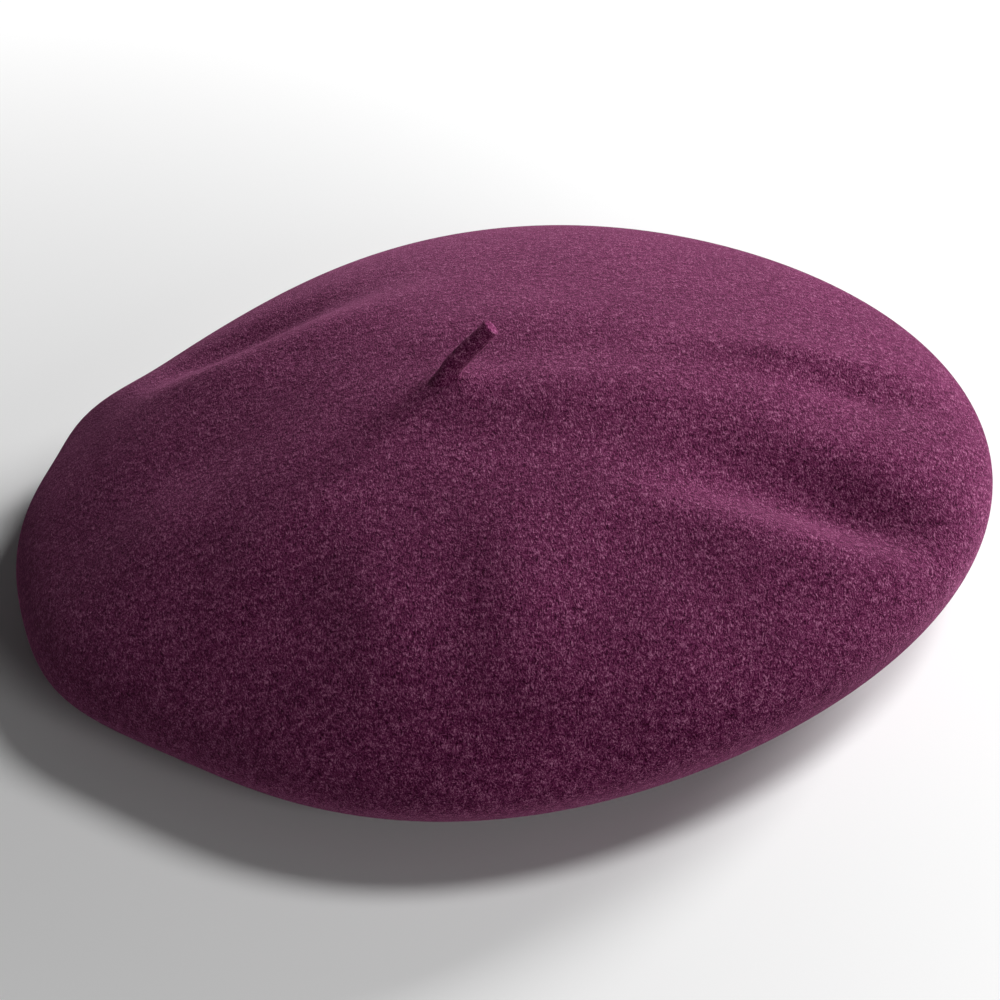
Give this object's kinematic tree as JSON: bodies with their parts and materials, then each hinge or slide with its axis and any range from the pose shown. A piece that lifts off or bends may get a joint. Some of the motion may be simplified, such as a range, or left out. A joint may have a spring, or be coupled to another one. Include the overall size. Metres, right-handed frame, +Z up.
{
  "type": "beret",
  "caption": "Round, flat, soft cap of felted wool with a short stalk at the top of its crown, standing on its head opening.",
  "frame": {"origin": "middle of the head opening, on the plane that the beret stands on", "axes": "+Z up out of the crown, +Y to the back of the hat where the sweatband's ends meet, +X to the wearer's left"},
  "size_m": [0.283, 0.2877, 0.0827],
  "materials": {
    "felt": "fulled wool felt with a short nap, matte",
    "leather": "satin",
    "cotton": "plain woven tape, matte",
    "satin": "satin weave, soft sheen",
    "thread": "spun thread, matte",
    "film": "clear soft film, gloss",
    "ribbon": "grosgrain, satin",
    "woven_label": "woven tape, matte"
  },
  "bodies": {
    "root": {"felt_body": "felt", "sweatband": "leather", "stay_tape": "cotton", "hem_stitching": "thread", "join_stitching": "thread", "bow_ribbon": "ribbon", "bow_knot": "ribbon", "size_tag_tack": "thread", "care_label_tack": "thread", "lining_side": "satin", "lining_crown": "satin", "lining_seam": "thread", "crown_shield": "film", "shield_stitching": "thread"},
    "crown": {"stalk_root": "felt", "root_stitching": "thread"},
    "stalk": {"stalk": "felt"},
    "size_tag": {"size_tag": "woven_label"},
    "care_label": {"care_label": "woven_label"}
  },
  "joints": [
    {"name": "crown_press", "type": "slide", "parent": "root", "child": "crown", "axis": [0, 0, 1], "range_m": [-0.034, 0], "stiffness_N_per_m": 40, "deforming": ["felt_body", "sweatband", "stay_tape", "hem_stitching", "join_stitching", "bow_ribbon", "bow_knot", "size_tag_tack", "care_label_tack", "lining_side", "lining_crown", "lining_seam", "crown_shield", "shield_stitching", "size_tag", "care_label"]},
    {"name": "stalk_flex", "type": "hinge", "parent": "crown", "child": "stalk", "pos_m": [-0.0096, -0.0023, 0.06925], "axis": [0, 1, 0], "range_deg": [-85, 28], "stiffness_Nm_per_rad": 0.005},
    {"name": "size_tag_flip", "type": "hinge", "parent": "root", "child": "size_tag", "pos_m": [0.03368, 0.08335, 0.022], "axis": [-0.9272, 0.3746, 0], "range_deg": [0, 110], "stiffness_Nm_per_rad": 0.00005},
    {"name": "care_label_flip", "type": "hinge", "parent": "root", "child": "care_label", "pos_m": [-0.03642, 0.0818, 0.027], "axis": [-0.9135, -0.4067, 0], "range_deg": [0, 110], "stiffness_Nm_per_rad": 0.0001}
  ]
}
